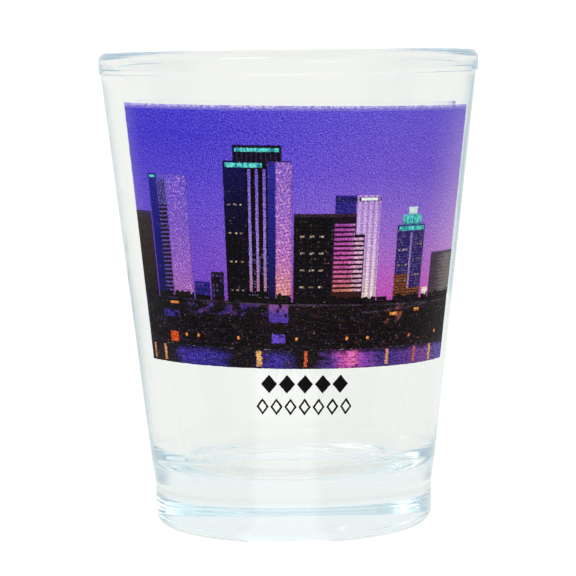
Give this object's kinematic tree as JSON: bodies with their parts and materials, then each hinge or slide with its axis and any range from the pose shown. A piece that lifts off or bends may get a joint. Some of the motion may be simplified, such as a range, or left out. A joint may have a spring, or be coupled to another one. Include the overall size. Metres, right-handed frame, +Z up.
{
  "type": "shot glass",
  "caption": "Small tapered drinking glass with a thick base, a rim bead and a wrap-round printed picture of a made-up town at dusk over a two-row lozenge ornament.",
  "frame": {"origin": "centre of the foot, on the plane the glass stands on", "axes": "+Z up along the glass's axis, -Y through the middle of the printed picture, +X to the right of someone facing the picture"},
  "size_m": [0.048, 0.048, 0.06],
  "materials": {
    "glass": "fire-polished clear soda-lime glass with a faint green-blue tint",
    "white_ink": "semi-gloss",
    "sky_ink": "semi-gloss",
    "water_ink": "semi-gloss",
    "shore_ink": "semi-gloss",
    "violet_strip_ink": "semi-gloss",
    "brown_block_ink": "semi-gloss",
    "left_tower_ink": "semi-gloss",
    "low_block_ink": "semi-gloss",
    "tall_tower_ink": "semi-gloss",
    "broad_tower_ink": "semi-gloss",
    "pale_tower_ink": "semi-gloss",
    "lit_tower_ink": "semi-gloss",
    "grey_block_ink": "semi-gloss",
    "sunlit_ink": "semi-gloss",
    "lilac_stripe_ink": "semi-gloss",
    "pink_band_ink": "semi-gloss",
    "window_ink": "semi-gloss",
    "roof_light_ink": "semi-gloss",
    "lamp_ink": "semi-gloss",
    "reflection_ink": "semi-gloss",
    "black_ink": "semi-gloss"
  },
  "bodies": {
    "root": {"glass_body": "glass", "white_underbase": "white_ink", "sky_ink": "sky_ink", "water_ink": "water_ink", "shore_ink": "shore_ink", "offset_strip_ink": "violet_strip_ink", "far_left_block_ink": "brown_block_ink", "left_tower_ink": "left_tower_ink", "low_blocks_ink": "low_block_ink", "tall_tower_ink": "tall_tower_ink", "broad_tower_ink": "broad_tower_ink", "pale_tower_ink": "pale_tower_ink", "lit_tower_ink": "lit_tower_ink", "far_right_block_ink": "grey_block_ink", "sunlit_faces_ink": "sunlit_ink", "facade_stripes_ink": "lilac_stripe_ink", "facade_bands_ink": "pink_band_ink", "lit_windows_ink": "window_ink", "roof_lights_ink": "roof_light_ink", "shore_lights_ink": "lamp_ink", "reflections_ink": "reflection_ink", "bold_ornament_ink": "black_ink", "fine_ornament_ink": "black_ink"}
  },
  "joints": []
}
